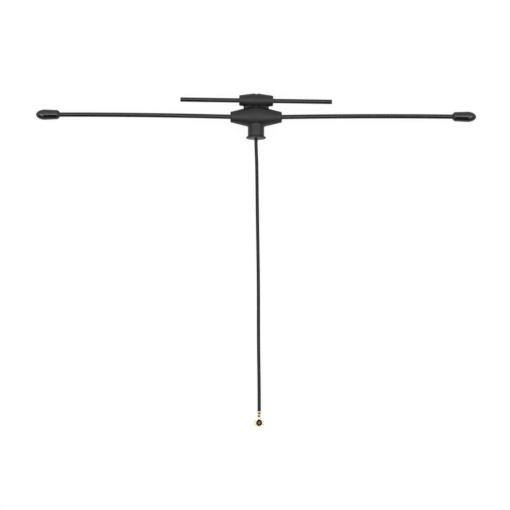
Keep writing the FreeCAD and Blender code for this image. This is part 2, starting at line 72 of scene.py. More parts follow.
# How the noise of a finish's patches and of its grain breaks up, and the share of the patches' noise that
# the gloss follows
PATCH_NOISE = {"Detail": 4.0, "Roughness": 0.55}
GRAIN_NOISE = {"Scale": 1.0, "Detail": 3.0, "Roughness": 0.6}
PATCH_SPREAD = {"From Min": 0.3, "From Max": 0.7}
# Sockets of a mix node's two colours and of its result
MIX_DARK, MIX_LIGHT, MIX_RESULT = 6, 7, 2
# Radians to a unit of a wave texture at scale 1
WAVE_RADIANS = 20


class Side(Enum):
    """The two ends of the dipole, by the sign of X."""

    LEFT = -1
    RIGHT = 1


class Slot(Enum):
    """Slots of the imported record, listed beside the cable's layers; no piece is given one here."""

    HOUSING = "housing_polymer"
    SHEATH = "sheath_nylon"
    CAP = "cap_rubber"
    JACKET = "cable_jacket"
    BRAID = "cable_braid"
    DIELECTRIC = "cable_dielectric"
    CONDUCTOR = "cable_conductor"
    PLUG_METAL = "plug_gold"


class Join(Enum):
    """What a tool solid does to the solid that it meets."""

    ADD = "UNION"
    CUT = "DIFFERENCE"


def hex_to_linear(code: str) -> Colour:
    """Turn an sRGB hex colour into linear RGBA.

    Args:
        code: Six hex digits after a hash sign.

    Returns:
        Linear red, green and blue, and an alpha of 1.
    """
    values = [int(code[i : i + 2], 16) / 255 for i in (1, 3, 5)]
    linear = [v / 12.92 if v <= 0.04045 else ((v + 0.055) / 1.055) ** 2.4 for v in values]
    return (linear[0], linear[1], linear[2], 1.0)


def add_node(
    tree: Tree,
    kind: str,
    settings: Optional[Dict[Union[str, int], Any]] = None,
    links: Optional[Dict[Union[str, int], Socket]] = None,
) -> bpy.types.Node:
    """Add one node with its settings and links.

    Args:
        tree: Tree that takes the node.
        kind: Blender's type name of the node.
        settings: Values of the node's properties, or of its input sockets by name or index.
        links: Output sockets by the name or index of the input that each one feeds.

    Returns:
        The new node.
    """
    node = tree.nodes.new(kind)
    for key, value in (settings or {}).items():
        if isinstance(key, str) and hasattr(node, key):
            setattr(node, key, value)
        else:
            node.inputs[key].default_value = value
    for key, source in (links or {}).items():
        tree.links.new(source, node.inputs[key])
    return node


def empty_material(name: str) -> bpy.types.Material:
    """A new material with no nodes yet."""
    made = bpy.data.materials.new(name)
    made.use_nodes = True
    made.node_tree.nodes.clear()
    return made


@dataclass(frozen=True)
class Finish:
    """A surface: two close colours in soft patches, a gloss that follows them, and a fine relief.

    Attributes:
        name: The real material and how its surface was made.
        dark: sRGB hex colour of the darker patches.
        light: sRGB hex colour of the lighter patches.
        roughness: Roughness of the glossiest and of the dullest patches.
        patch_mm: Size of the patches.
        grain_mm: Spacing of the relief.
        relief_mm: Height of the relief.
        stretch: How many times longer the relief runs along X, Y and Z.
        metallic: 1 for a metal.
        ior: Index of refraction; a metal keeps the default.
        specular: Strength of the reflection, 0.5 for a clean dielectric and less for a chalky one.
        subsurface: Share of light that scatters inside.
    """

    name: str
    dark: str
    light: str
    roughness: Tuple[float, float]
    patch_mm: float
    grain_mm: float
    relief_mm: float
    stretch: Point3 = (1.0, 1.0, 1.0)
    metallic: float = 0.0
    ior: float = 1.5
    specular: float = 0.5
    subsurface: float = 0.0

    def relief(self, tree: Tree, place: Socket) -> Socket:
        """Add the nodes of the relief.

        Args:
            tree: Tree of the material.
            place: Coordinates of the surface in metres.

        Returns:
            Height of the relief, from 0 to 1.
        """
        scale = tuple(1 / (self.grain_mm * MM * long) for long in self.stretch)
        spread = add_node(tree, "ShaderNodeMapping", {"Scale": scale}, {"Vector": place})
        grain = add_node(tree, "ShaderNodeTexNoise", GRAIN_NOISE, {"Vector": spread.outputs["Vector"]})
        return grain.outputs["Fac"]

    def material(self) -> bpy.types.Material:
        """Make the material on its first use.

        Returns:
            The material.
        """
        made = bpy.data.materials.get(self.name)
        if made is not None:
            return made
        made = empty_material(self.name)
        tree = made.node_tree
        place = add_node(tree, "ShaderNodeTexCoord").outputs["Object"]
        scale = 1 / (self.patch_mm * MM)
        patches = add_node(tree, "ShaderNodeTexNoise", {"Scale": scale, **PATCH_NOISE}, {"Vector": place})
        share = patches.outputs["Fac"]
        shades = {MIX_DARK: hex_to_linear(self.dark), MIX_LIGHT: hex_to_linear(self.light)}
        colour = add_node(tree, "ShaderNodeMix", {"data_type": "RGBA", **shades}, {0: share})
        dullness = {"To Min": self.roughness[0], "To Max": self.roughness[1]}
        gloss = add_node(tree, "ShaderNodeMapRange", {**PATCH_SPREAD, **dullness}, {"Value": share})
        depth = {"Strength": 1.0, "Distance": self.relief_mm * MM}
        bump = add_node(tree, "ShaderNodeBump", depth, {"Height": self.relief(tree, place)})
        surface = add_node(
            tree,
            "ShaderNodeBsdfPrincipled",
            {
                "Metallic": self.metallic,
                "IOR": self.ior,
                "Specular IOR Level": self.specular,
                "Subsurface Weight": self.subsurface,
                "Subsurface Scale": self.patch_mm * MM,
            },
            {
                "Base Color": colour.outputs[MIX_RESULT],
                "Roughness": gloss.outputs["Result"],
                "Normal": bump.outputs["Normal"],
            },
        )
        add_node(tree, "ShaderNodeOutputMaterial", None, {"Surface": surface.outputs["BSDF"]})
        return made


@dataclass(frozen=True)
class WovenFinish(Finish):
    """A braid of bright wires: two sets of ridges that cross as they wind round the Y axis.

    Attributes:
        wind: How far each set leans from the axis, in degrees.
    """

    wind: float = 35.0

    def relief(self, tree: Tree, place: Socket) -> Socket:
        """Add the two sets of ridges.

        Args:
            tree: Tree of the material.
            place: Coordinates of the surface in metres.

        Returns:
            Height of the higher ridge, from 0 to 1.
        """
        bands = {"bands_direction": "X", "Scale": 2 * math.pi / WAVE_RADIANS / (self.grain_mm * MM)}
        sets = []
        for sign in (-1, 1):
            lean = {"Rotation": (0.0, 0.0, sign * math.radians(self.wind))}
            leaning = add_node(tree, "ShaderNodeMapping", lean, {"Vector": place})
            ridges = add_node(tree, "ShaderNodeTexWave", bands, {"Vector": leaning.outputs["Vector"]})
            sets.append(ridges.outputs["Fac"])
        higher = add_node(tree, "ShaderNodeMath", {"operation": "MAXIMUM"}, dict(enumerate(sets)))
        return higher.outputs[0]


# Injection-moulded nylon from a spark-eroded tool: a satin black with a faint grain, drawn coarser than
# the real 0.1 mm so that it shows
MOULDED_NYLON = Finish(
    "moulded_nylon", "#100F12", "#151417", (0.42, 0.5), patch_mm=3.0, grain_mm=0.35, relief_mm=0.005,
    specular=0.36,
)
# Nylon drawn through a die round the wire: smooth and glossy, with long faint die lines
DRAWN_NYLON = Finish(
    "drawn_nylon_sheath", "#0A0A0B", "#0F0F10", (0.14, 0.2), patch_mm=2.5, grain_mm=0.3, relief_mm=0.004,
    stretch=(30.0, 1.0, 1.0), specular=0.4,
)
# Soft vinyl dipped and cured: the glossiest surface, with a slow waviness and no grain
DIPPED_VINYL = Finish(
    "dipped_vinyl", "#060607", "#0A0A0B", (0.05, 0.1), patch_mm=4.0, grain_mm=1.6, relief_mm=0.004
)
# Fluoropolymer jacket extruded over the braid: waxy half gloss that faintly follows the weave beneath
EXTRUDED_JACKET = Finish(
    "extruded_fluoropolymer", "#0D0B0C", "#131112", (0.38, 0.48), patch_mm=2.0, grain_mm=0.3,
    relief_mm=0.004, stretch=(1.0, 4.0, 1.0), specular=0.22,
)
# Bronze sheet, stamped, folded and gold plated: warm bright metal with rolling lines and duller folds
GOLD_PLATE = Finish(
    "gold_plated_bronze", "#C6B693", "#DED1B1", (0.22, 0.36), patch_mm=0.8, grain_mm=0.12, relief_mm=0.003,
    stretch=(1.0, 5.0, 1.0), metallic=1.0,
)
# Gold-plated spring bronze of the contact deep in the mouth, painted grey-brown and half bright: painted
# shade of the ring's walls over it
SHADED_CONTACT_GOLD = Finish(
    "contact_gold_painted_shade", "#8E8A82", "#ABA79F", (0.3, 0.45), patch_mm=0.5, grain_mm=0.1,
    relief_mm=0.003, metallic=1.0,
)
# Tin-washed copper wires braided round the core, warm where the wash is thin, and painted dark brown:
# painted shade of the gap between the plug's ring and crimps where the braid shows
SHADED_TINNED_BRAID = WovenFinish(
    "tinned_braid_painted_shade", "#42392A", "#6C5F45", (0.28, 0.42), patch_mm=0.5, grain_mm=0.14, relief_mm=0.02,
    metallic=1.0,
)
# Extruded fluoropolymer core: milky white and a little translucent
WHITE_CORE = Finish(
    "extruded_white_core", "#E2E1DC", "#F0EFEB", (0.35, 0.45), patch_mm=0.8, grain_mm=0.2, relief_mm=0.004,
    subsurface=0.15,
)
# Silver-washed copper strand: pale bright metal with drawing lines
SILVERED_COPPER = Finish(
    "silvered_copper", "#C9BFB2", "#DDD6CC", (0.2, 0.3), patch_mm=0.6, grain_mm=0.1, relief_mm=0.003,
    stretch=(1.0, 8.0, 1.0), metallic=1.0,
)
# Drawn spring steel: grey metal with fine lines along the wire
SPRING_STEEL = Finish(
    "drawn_spring_steel", "#8E9094", "#A6A8AB", (0.28, 0.4), patch_mm=1.0, grain_mm=0.12, relief_mm=0.004,
    stretch=(20.0, 1.0, 1.0), metallic=1.0,
)
# Glass-epoxy laminate under green lacquer: the weave shows as a faint texture
GLASS_EPOXY = Finish(
    "glass_epoxy_laminate", "#1E4A33", "#2A5E42", (0.3, 0.42), patch_mm=1.2, grain_mm=0.4, relief_mm=0.006
)
# Rolled copper foil, slightly tarnished
COPPER_FOIL = Finish(
    "rolled_copper_foil", "#A9694A", "#C88764", (0.26, 0.4), patch_mm=0.9, grain_mm=0.15, relief_mm=0.003,
    stretch=(6.0, 1.0, 1.0), metallic=1.0,
)
# Tin solder that froze bright with dull patches
TIN_SOLDER = Finish(
    "frozen_tin_solder", "#A3A4A6", "#C4C5C7", (0.18, 0.4), patch_mm=0.6, grain_mm=0.25, relief_mm=0.008,
    metallic=1.0,
)
# Glass-filled black polymer moulded round the contact: matt
MATT_POLYMER = Finish(
    "moulded_black_polymer", "#0B0B0B", "#101010", (0.55, 0.7), patch_mm=0.8, grain_mm=0.12, relief_mm=0.006,
    specular=0.12,
)

# The cable's layers from the outside in
CABLE_LAYERS: Dict[str, Tuple[Finish, Slot]] = {
    "jacket": (EXTRUDED_JACKET, Slot.JACKET),
    "braid": (SHADED_TINNED_BRAID, Slot.BRAID),
    "dielectric": (WHITE_CORE, Slot.DIELECTRIC),
    "conductor": (SILVERED_COPPER, Slot.CONDUCTOR),
}


def arc(centre: Point2, radius: float, start: float, end: float, steps: int) -> List[Point2]:
    """Points along an arc.

    Args:
        centre: Centre of the arc.
        radius: Its radius.
        start: Angle of its first point, in radians.
        end: Angle of its last point, in radians.
        steps: How many steps it takes.

    Returns:
        The points, both ends among them.
    """
    angles = [start + (end - start) * i / steps for i in range(steps + 1)]
    return [(centre[0] + radius * math.cos(a), centre[1] + radius * math.sin(a)) for a in angles]


def rounded(*corners: Point3, steps: int = 6) -> List[Point2]:
    """Round the inner corners of an outline.

    Args:
        corners: Place of each corner and its rounding; the first and the last stay sharp.
        steps: Steps of each rounding.

    Returns:
        The points of the outline.
    """
    points = [corners[0][:2]]
    for before, here, after in zip(corners, corners[1:], corners[2:]):
        corner = Vector(here[:2])
        back = (Vector(before[:2]) - corner).normalized()
        ahead = (Vector(after[:2]) - corner).normalized()
        turn = math.pi - back.angle(ahead)
        if here[2] < TINY or turn < TINY:
            points.append(here[:2])
            continue
        reach = here[2] * math.tan(turn / 2)
        centre = corner + (back + ahead).normalized() * (here[2] / math.cos(turn / 2))
        first = corner + back * reach - centre
        spin = math.copysign(turn, back.cross(ahead) * -1)
        start = math.atan2(first.y, first.x)
        points += arc((centre.x, centre.y), here[2], start, start + spin, steps)
    return points + [corners[-1][:2]]


def skin(rings: Sequence[Sequence[Vector]], closed: bool = False) -> Surface:
    """Join rings of points into one surface.

    Args:
        rings: Rings of as many points each; a ring of one point is a pole.
        closed: Whether the last ring joins the first.

    Returns:
        The surface, with its faces turned outwards.
    """
    surface = bmesh.new()
    made = [[surface.verts.new(point) for point in ring] for ring in rings]
    pairs = list(zip(made, made[1:]))
    if closed:
        pairs.append((made[-1], made[0]))
    for low, high in pairs:
        count = max(len(low), len(high))
        for i in range(count):
            j = (i + 1) % count
            corners = [low[i % len(low)], low[j % len(low)], high[j % len(high)], high[i % len(high)]]
            surface.faces.new(list(dict.fromkeys(corners)))
    bmesh.ops.recalc_face_normals(surface, faces=surface.faces)
    return surface


def turned(profile: Sequence[Point2], sides: int = 64, closed: bool = False) -> Surface:
    """Turn a half outline about the X axis.

    Args:
        profile: Points along the axis and out from it.
        sides: Sides of the round.
        closed: Whether the outline closes on itself, as round a bore.

    Returns:
        The turned surface.
    """
    angles = [2 * math.pi * i / sides for i in range(sides)]
    rings = []
    for along, out in profile:
        if out < TINY:
            rings.append([Vector((along, 0, 0))])
        else:
            rings.append([Vector((along, out * math.cos(a), out * math.sin(a))) for a in angles])
    return skin(rings, closed)


def sleeve(points: Sequence[Vector], outer: float, inner: float, sides: int = 32) -> Surface:
    """Sweep a hollow round section along points that keep to one XZ plane.

    Args:
        points: Centreline.
        outer: Outer radius.
        inner: Radius of the bore.
        sides: Sides of the round.

    Returns:
        The swept surface.
    """
    angles = [2 * math.pi * i / sides for i in range(sides)]
    aside = Vector((0, 1, 0))
    sections = []
    for i, point in enumerate(points):
        ahead = (points[min(i + 1, len(points) - 1)] - points[max(i - 1, 0)]).normalized()
        sections.append((point, ahead.cross(aside)))

    def ring(section: Tuple[Vector, Vector], radius: float) -> List[Vector]:
        """One ring of a section."""
        point, up = section
        return [point + aside * (radius * math.cos(a)) + up * (radius * math.sin(a)) for a in angles]

    outside = [ring(section, outer) for section in sections]
    inside = [ring(section, inner) for section in reversed(sections)]
    return skin(outside + inside, closed=True)


def prism(points: Sequence[Point2], low: float, high: float) -> Surface:
    """Stand a closed outline up along Z.

    Args:
        points: The outline.
        low: Height of its underside.
        high: Height of its top.

    Returns:
        The closed surface.
    """
    rings = [[Vector((x, y, z)) for x, y in points] for z in (low, high)]
    surface = skin(rings)
    surface.verts.ensure_lookup_table()
    count = len(points)
    surface.faces.new([surface.verts[i] for i in range(count)])
    surface.faces.new([surface.verts[count + i] for i in range(count)])
    bmesh.ops.recalc_face_normals(surface, faces=surface.faces)
    return surface


def block(low: Point3, high: Point3) -> Surface:
    """A box between two corners."""
    outline = [(low[0], low[1]), (high[0], low[1]), (high[0], high[1]), (low[0], high[1])]
    return prism(outline, low[2], high[2])


ALONG_Y = Matrix.Rotation(math.pi / 2, 4, "Z")
ALONG_Z = Matrix.Rotation(-math.pi / 2, 4, "Y")


def bar(start: float, end: float, radius: float, sides: int = 64) -> Surface:
    """A round bar along the X axis."""
    return turned([(start, 0), (start, radius), (end, radius), (end, 0)], sides)


def oval_bar(half_width: float, half_height: float, start: float, end: float) -> Surface:
    """An oval bar along the Y axis."""
    outline = [(half_width * x, half_height * y) for x, y in arc((0, 0), 1, 0, 2 * math.pi, steps=96)[:-1]]
    surface = prism(outline, -end, -start)
    surface.transform(Matrix.Rotation(math.pi / 2, 4, "X"))
    return surface


def new_object(name: str, surface: Surface, place: Optional[Matrix] = None) -> Piece:
    """Put a surface into an object of its own.

    Args:
        name: Name of the object.
        surface: The surface, which is used up.
        place: Where it goes; a mirror turns its faces back outwards.

    Returns:
        The object, in millimetres.
    """
    if place is not None:
        surface.transform(place)
        bmesh.ops.recalc_face_normals(surface, faces=surface.faces)
    mesh = bpy.data.meshes.new(name)
    surface.to_mesh(mesh)
    surface.free()
    made = bpy.data.objects.new(name, mesh)
    bpy.context.scene.collection.objects.link(made)
    return made


def apply_modifiers(piece: Piece) -> None:
    """Replace a piece's mesh by what its modifiers make of it."""
    bpy.context.view_layer.update()
    result = bpy.data.meshes.new_from_object(piece.evaluated_get(bpy.context.evaluated_depsgraph_get()))
    piece.modifiers.clear()
    old = piece.data
    piece.data = result
    bpy.data.meshes.remove(old)


def combine(piece: Piece, tool: Surface, how: Join, place: Optional[Matrix] = None) -> None:
    """Join a tool to a piece, or cut it out of the piece.

    Args:
        piece: The piece that changes.
        tool: Surface of the tool, which is used up.
        how: Whether the tool is added or cut out.
        place: Where the tool goes.
    """
    helper = new_object("tool", tool, place)
    modifier = piece.modifiers.new("combine", "BOOLEAN")
    modifier.operation = how.value
    modifier.solver = "EXACT"
    modifier.object = helper
    apply_modifiers(piece)
    bpy.data.objects.remove(helper)


def melt(piece: Piece, voxel: float, passes: int, group: str = "") -> None:
    """Give a piece one even skin and ease its creases.

    Args:
        piece: The piece that changes.
        voxel: Spacing of the even skin, or 0 to keep the skin that it has.
        passes: How often the skin is eased.
        group: Vertex group that the easing keeps to.
    """
    if voxel:
        remesh = piece.modifiers.new("even", "REMESH")
        remesh.mode = "VOXEL"
        remesh.voxel_size = voxel
    ease = piece.modifiers.new("ease", "SMOOTH")
    ease.factor = 0.5
    ease.iterations = passes
    ease.vertex_group = group
    apply_modifiers(piece)


def settle(
    piece: Piece, finish: Finish, nodes: Sequence[str], sharp: float = 50.0
) -> Piece:
    """Turn a piece to metres, dress it and let it ride on the frame in place of its CAD nodes.

    Args:
        piece: The piece, in millimetres.
        finish: Its surface.
        nodes: CAD nodes that it stands for.
        sharp: Angle in degrees from which an edge stays sharp.

    Returns:
        The piece.
    """
    piece.data.transform(Matrix.Scale(MM, 4))
    piece.data.shade_smooth()
    piece.data.set_sharp_from_angle(angle=math.radians(sharp))
    piece.data.materials.clear()
    piece.data.materials.append(finish.material())
    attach(piece, ROOT)
    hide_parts(*nodes)
    LOG.info("%s: %d faces of %s", piece.name, len(piece.data.polygons), finish.name)
    return piece


@dataclass
class ArmLine:
    """Centreline of the right arm: straight in the housing, one long bend, straight in the cap."""

    span: float = 150.0
    height: float = AXIS_HEIGHT
    start: float = 5.0
    housing_half: float = 8.75
    cap_length: float = 8.2
    cap_nose: float = 3.05
    cap_radius: float = 1.8
    bore_depth: float = 5.2
    sweep: float = 1.28
    lean: float = 20.0
    steepest: float = 30.0
    halvings: int = 60

    def reach(self, turn: float) -> float:
        """How far the bend reaches along X for an angle in radians."""
        return self.span / 2 - self.housing_half - self.cap_length * math.cos(turn)

    def clearance(self, turn: float) -> float:
        """Height of the cap's lowest point over the table for an angle in radians."""
        upright = math.cos(math.radians(self.lean))
        nose_start = self.cap_length - self.cap_nose
        drop = self.reach(turn) * math.tan(turn / 2) + nose_start * math.sin(turn)
        dip = math.sin(turn) * upright
        below = math.hypot(self.cap_nose * dip, self.cap_radius * math.sqrt(1 - dip * dip))
        return self.height - drop * upright - below

    def turn(self) -> float:
        """The angle, in radians, at which the cap comes to rest on the table."""
        low, high = 0.0, math.radians(self.steepest)
        for _ in range(self.halvings):
            middle = (low + high) / 2
            if self.clearance(middle) > 0:
                low = middle
            else:
                high = middle
        return high

    def cap_base(self) -> Vector:
        """Where the bend ends and the cap begins."""
        reach = self.reach(self.turn())
        return Vector((self.housing_half + reach, 0, -reach * math.tan(self.turn() / 2)))

    def points(self, steps: int = 48) -> List[Vector]:
        """Points from the arm's inner end to the bottom of the cap's bore.

        Args:
            steps: Steps of the bend.

        Returns:
            The points, in the arm's own frame.
        """
        turn = self.turn()
        radius = self.reach(turn) / math.sin(turn)
        bend = [turn * i / steps for i in range(steps + 1)]
        exit_x = self.housing_half
        curve = [Vector((exit_x + radius * math.sin(a), 0, radius * (math.cos(a) - 1))) for a in bend]
        tip = curve[-1] + Vector((math.cos(turn), 0, -math.sin(turn))) * self.bore_depth
        return [Vector((self.start, 0, 0))] + curve + [tip]

    def placement(self, side: Side) -> Matrix:
        """From the arm's own frame to the row frame.

        Args:
            side: Which arm.

        Returns:
            The placement; the left arm mirrors the right one.
        """
        pivot = Vector((self.start, 0, 0))
        mirror = Matrix.Diagonal((side.value, 1, 1, 1))
        lift = Matrix.Translation((0, 0, self.height))
        sweep = Matrix.Rotation(math.radians(self.sweep), 4, "Z")
        lean = Matrix.Rotation(math.radians(-self.lean), 4, "X")
        return mirror @ lift @ Matrix.Translation(pivot) @ sweep @ Matrix.Translation(-pivot) @ lean


@dataclass
class DipoleArm:
    """One arm of the dipole: a sheathed wire and the bullet-shaped cap on its end."""

    side: Side
    line: ArmLine = field(default_factory=ArmLine)
    sheath_radius: float = SHEATH_RADIUS
    wire_radius: float = WIRE_RADIUS
    base_radius: float = 1.6
    base_edge: float = 0.7
    base_round: float = 0.25
    lip_wall: float = 0.15
    lip_round: float = 0.1
    nose_steps: int = 24

    def build_sheath(self) -> Piece:
        """Sweep the sheath round its wire."""
        surface = sleeve(self.line.points(), self.sheath_radius, self.wire_radius)
        name = f"arm_sheath_{self.side.name.lower()}"
        return new_object(name, surface, self.line.placement(self.side))

    def build_cap(self) -> Piece:
        """Turn the cap: conical base edge, slight taper, elliptical nose and the bore for the sheath."""
        line = self.line
        shoulder = line.cap_length - line.cap_nose
        skirt = rounded(
            (0, self.sheath_radius, 0),
            (0, self.sheath_radius + self.lip_wall, self.lip_round),
            (self.base_edge, self.base_radius, self.base_round),
            (shoulder, line.cap_radius, 0),
        )
        quarter = [math.pi / 2 * i / self.nose_steps for i in range(1, self.nose_steps + 1)]
        nose = [(shoulder + line.cap_nose * math.sin(a), line.cap_radius * math.cos(a)) for a in quarter]
        bore = [(line.bore_depth, 0), (line.bore_depth, self.sheath_radius)]
        place = (
            line.placement(self.side)
            @ Matrix.Translation(line.cap_base())
            @ Matrix.Rotation(line.turn(), 4, "Y")
        )
        return new_object(f"arm_cap_{self.side.name.lower()}", turned(bore + skirt + nose), place)

    def dress(self) -> None:
        """Build the arm's pieces and settle them."""
        side = self.side.name.lower()
        settle(self.build_sheath(), DRAWN_NYLON, [f"dipole_sheath_{side}"])
        settle(self.build_cap(), DIPPED_VINYL, [f"tip_cap_{side}"])


@dataclass
class ShortElement:
    """The short element and the grooved double cone that holds it on the housing's pad."""

    span: float = 51.5
    sheath_radius: float = SHEATH_RADIUS
    wire_radius: float = WIRE_RADIUS
    cut_round: float = 0.07
    length: float = 11.6
    middle_radius: float = 2.475
    end_radius: float = 1.775
    end_round: float = 0.45
    groove_half: float = 0.75
    groove_depth: float = 0.2
    groove_round: float = 0.25
    flat: float = 0.27
    yaw: float = -0.6
    peg_radius: float = 0.9
    peg_length: float = 1.2
    pad_half: float = PAD_HALF
    pad_half_height: float = PAD_HALF_HEIGHT
    pad_face: float = PAD_FACE
    height: float = AXIS_HEIGHT

    def axis_y(self) -> float:
        """How far the element's axis lies behind the housing's."""
        return self.pad_face + self.middle_radius - self.flat

    def placement(self) -> Matrix:
        """From the element's own frame, X along it, to the row frame."""
        centre = (0, self.axis_y(), self.height)
        return Matrix.Translation(centre) @ Matrix.Rotation(math.radians(self.yaw), 4, "Z")

    def build_sheath(self) -> Piece:
        """Turn the sheath, cut square at both ends with its edges just broken."""
        half = self.span / 2
        outside = rounded(
            (-half, self.wire_radius, 0),
            (-half, self.sheath_radius, self.cut_round),
            (half, self.sheath_radius, self.cut_round),
            (half, self.wire_radius, 0),
        )
        return new_object("short_element_tube", turned(outside, closed=True), self.placement())

    def build_holder(self) -> Piece:
        """Turn the holder, cut its underside, add foot and peg, and cut the element's passage."""
        half = self.length / 2
        profile = rounded(
            (-half, 0, 0),
            (-half, self.end_radius, self.end_round),
            (-self.groove_half, self.middle_radius, self.groove_round),
            (0, self.middle_radius - self.groove_depth, self.groove_round),
            (self.groove_half, self.middle_radius, self.groove_round),
            (half, self.end_radius, self.end_round),
            (half, 0, 0),
        )
        holder = new_object("short_element_clip", turned(profile, sides=96), self.placement())
        reach = self.length
        combine(holder, block((-reach, -reach, -reach), (reach, self.pad_face, reach)), Join.CUT)
        lift = Matrix.Translation((0, 0, self.height))
        foot = oval_bar(self.pad_half, self.pad_half_height, self.pad_face, self.axis_y())
        combine(holder, foot, Join.ADD, lift)
        peg_end = self.axis_y() - 2 * self.sheath_radius
        peg = bar(self.pad_face - self.peg_length, peg_end, self.peg_radius)
        combine(holder, peg, Join.ADD, lift @ ALONG_Y)
        combine(holder, bar(-reach, reach, self.sheath_radius), Join.CUT, self.placement())
        return holder

    def dress(self) -> None:
        """Build the element's pieces and settle them."""
        settle(self.build_sheath(), DRAWN_NYLON, ["short_element_sheath"])
        settle(self.build_holder(), MOULDED_NYLON, ["short_element_holder"], sharp=40.0)


@dataclass
class FeedHousing:
    """The moulded double cone with its neck, flange and oval pad."""

    length: float = 17.5
    middle_radius: float = 3.7
    end_radius: float = 1.875
    crown: float = 8.0
    end_round: float = 0.35
    neck_radius: float = 2.775
    neck_face: float = 7.4
    neck_fillet: float = 0.5
    flange_radius: float = 3.325
    flange_thickness: float = 0.75
    flange_round: float = 0.22
    pad_half: float = PAD_HALF
    pad_half_height: float = PAD_HALF_HEIGHT
    pad_face: float = PAD_FACE
    socket_radius: float = 0.95
    socket_depth: float = 1.25
    sheath_radius: float = SHEATH_RADIUS
    cable_radius: float = CABLE_RADIUS
    cable_depth: float = 5.4
    height: float = AXIS_HEIGHT
    voxel: float = 0.1
    skin_passes: int = 4
    root_passes: int = 30

    def crown_end(self) -> Tuple[float, float]:
        """Angle of the crown's end and the height of its centre over the axis."""
        centre = self.middle_radius - self.crown
        rise = self.end_radius - centre
        half = self.length / 2
        return math.atan2(rise, half) + math.acos(self.crown / math.hypot(half, rise)), centre

    def radius_at(self, x: float) -> float:
        """Radius of the double cone at a place along it."""
        angle, centre = self.crown_end()
        edge = self.crown * math.cos(angle)
        if abs(x) < edge:
            return centre + math.sqrt(self.crown**2 - x * x)
        top = centre + self.crown * math.sin(angle)
        return top + (abs(x) - edge) / (self.length / 2 - edge) * (self.end_radius - top)

    def build(self, arm: ArmLine) -> Piece:
        """Join cone, neck and pad into one moulding and cut the passages of what it holds.

        Args:
            arm: Line of the arms that leave it.

        Returns:
            The housing.
        """
        half = self.length / 2
        angle, centre = self.crown_end()
        cone_start = rounded(
            (-half, 0, 0), (-half, self.end_radius, self.end_round), (0, self.radius_at(self.crown), 0)
        )[:-1]
        crown = arc((0, centre), self.crown, math.pi - angle, angle, steps=32)
        cone_end = [(-x, r) for x, r in reversed(cone_start)]
        housing = new_object("feed_housing_moulding", turned(cone_start + crown + cone_end, sides=128))
        lip = self.neck_face - self.flange_thickness
        neck = rounded(
            (0, 0, 0),
            (0, self.neck_radius, 0),
            (lip, self.neck_radius, self.flange_round / 2),
            (lip, self.flange_radius, self.flange_round),
            (self.neck_face, self.flange_radius, self.flange_round),
            (self.neck_face, 0, 0),
        )
        combine(housing, turned(neck, sides=96), Join.ADD, Matrix.Rotation(-math.pi / 2, 4, "Z"))
        combine(housing, oval_bar(self.pad_half, self.pad_half_height, 0, self.pad_face), Join.ADD)
        reach = self.length
        combine(housing, block((-reach, self.pad_face, -reach), (reach, reach, reach)), Join.CUT)
        melt(housing, self.voxel, self.skin_passes)
        self.ease_root(housing)
        housing.data.transform(Matrix.Translation((0, 0, self.height)))
        self.cut_passages(housing, arm)
        return housing

    def ease_root(self, housing: Piece) -> None:
        """Round the crease between the neck and the cone, as the fillet of the mould does.

        Args:
            housing: The joined moulding, still about its own axis.
        """
        group = housing.vertex_groups.new(name="root")
        for vertex in housing.data.vertices:
            x, y, z = vertex.co
            cone = abs(math.hypot(y, z) - self.radius_at(x))
            stem = abs(math.hypot(x, z) - self.neck_radius)
            weight = 1 - (cone + stem) / (2 * self.neck_fillet)
            if y < 0 and weight > 0:
                group.add([vertex.index], weight, "REPLACE")
        melt(housing, 0, self.root_passes, group.name)

    def cut_passages(self, housing: Piece, arm: ArmLine) -> None:
        """Cut the holes of the two arms, the cable and the holder's peg.

        Args:
            housing: The moulding in its place.
            arm: Line of the arms.
        """
        for side in Side:
            passage = bar(arm.start, self.length, self.sheath_radius)
            combine(housing, passage, Join.CUT, arm.placement(side))
        axis = Matrix.Translation((0, 0, self.height)) @ ALONG_Y
        cable_end = self.cable_depth - self.neck_face
        combine(housing, bar(-self.length, cable_end, self.cable_radius), Join.CUT, axis)
        socket = bar(self.pad_face - self.socket_depth, self.length, self.socket_radius)
        combine(housing, socket, Join.CUT, axis)

    def dress(self, arm: ArmLine) -> None:
        """Build the housing and settle it."""
        settle(self.build(arm), MOULDED_NYLON, ["main_housing"], sharp=60.0)


